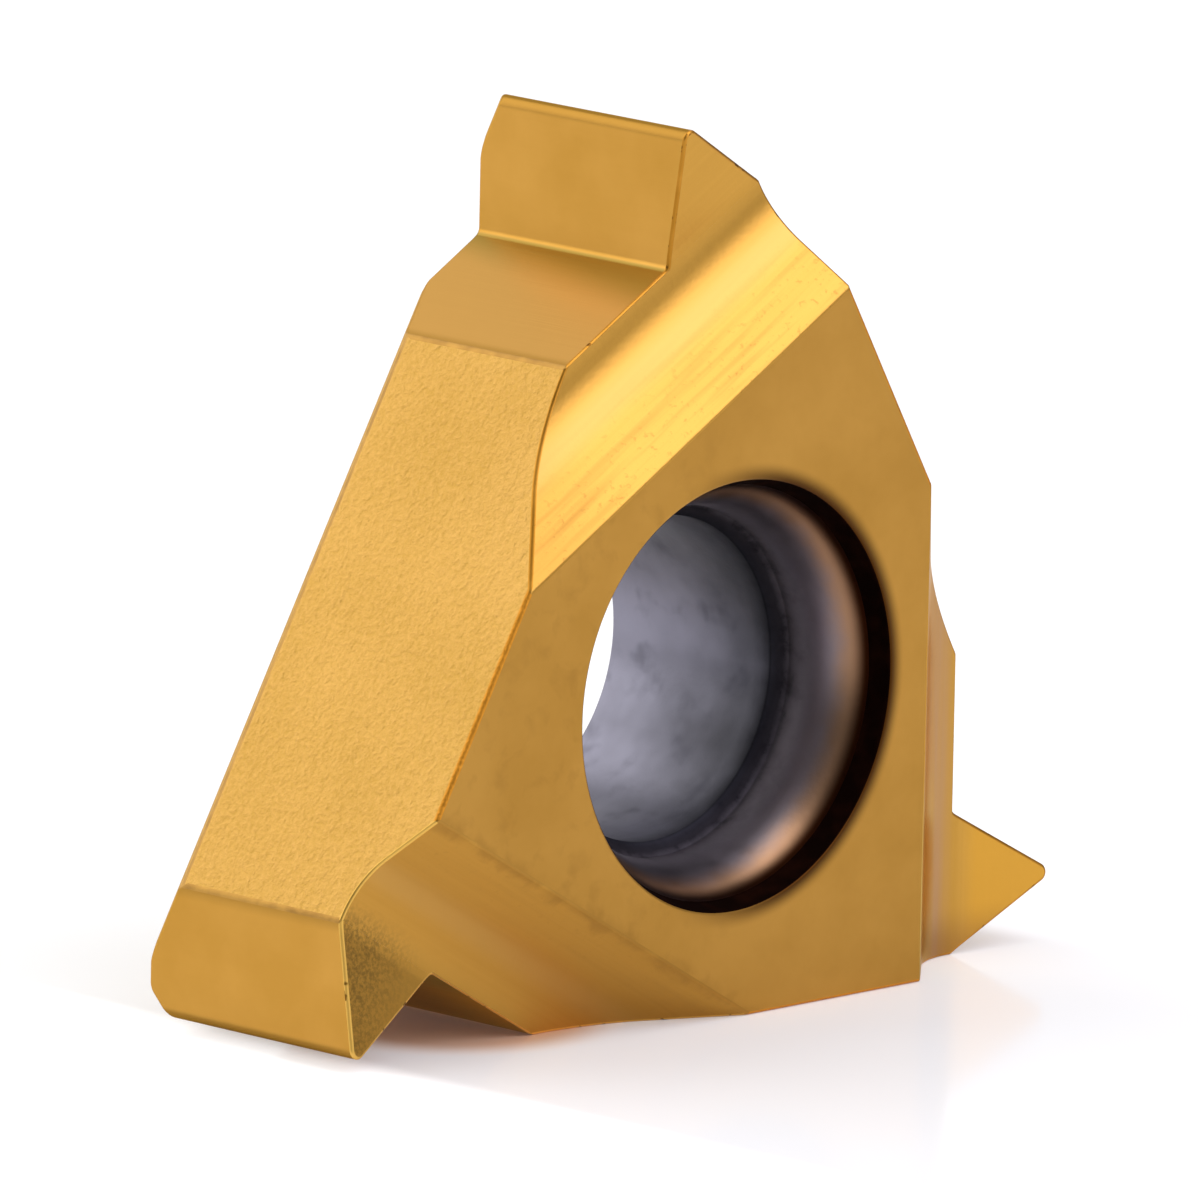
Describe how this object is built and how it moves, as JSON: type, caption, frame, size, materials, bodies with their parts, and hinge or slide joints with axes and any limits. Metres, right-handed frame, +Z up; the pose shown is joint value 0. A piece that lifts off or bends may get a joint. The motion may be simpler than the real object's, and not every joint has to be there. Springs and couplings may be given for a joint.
{
  "type": "carbide insert",
  "caption": "Triangular laydown threading insert with a V tooth, stop shoulder and chip groove at each corner and a countersunk screw hole.",
  "frame": {"origin": "middle of the screw hole at the back face", "axes": "-Y out of the front face along the screw hole, +Z up from the long side that the insert stands on, +X to the right seen from the front"},
  "size_m": [0.0095, 0.0033, 0.0087],
  "materials": {
    "coated_carbide": "satin gold nitride coating on cemented carbide"
  },
  "bodies": {
    "root": {"insert": "coated_carbide"}
  },
  "joints": []
}
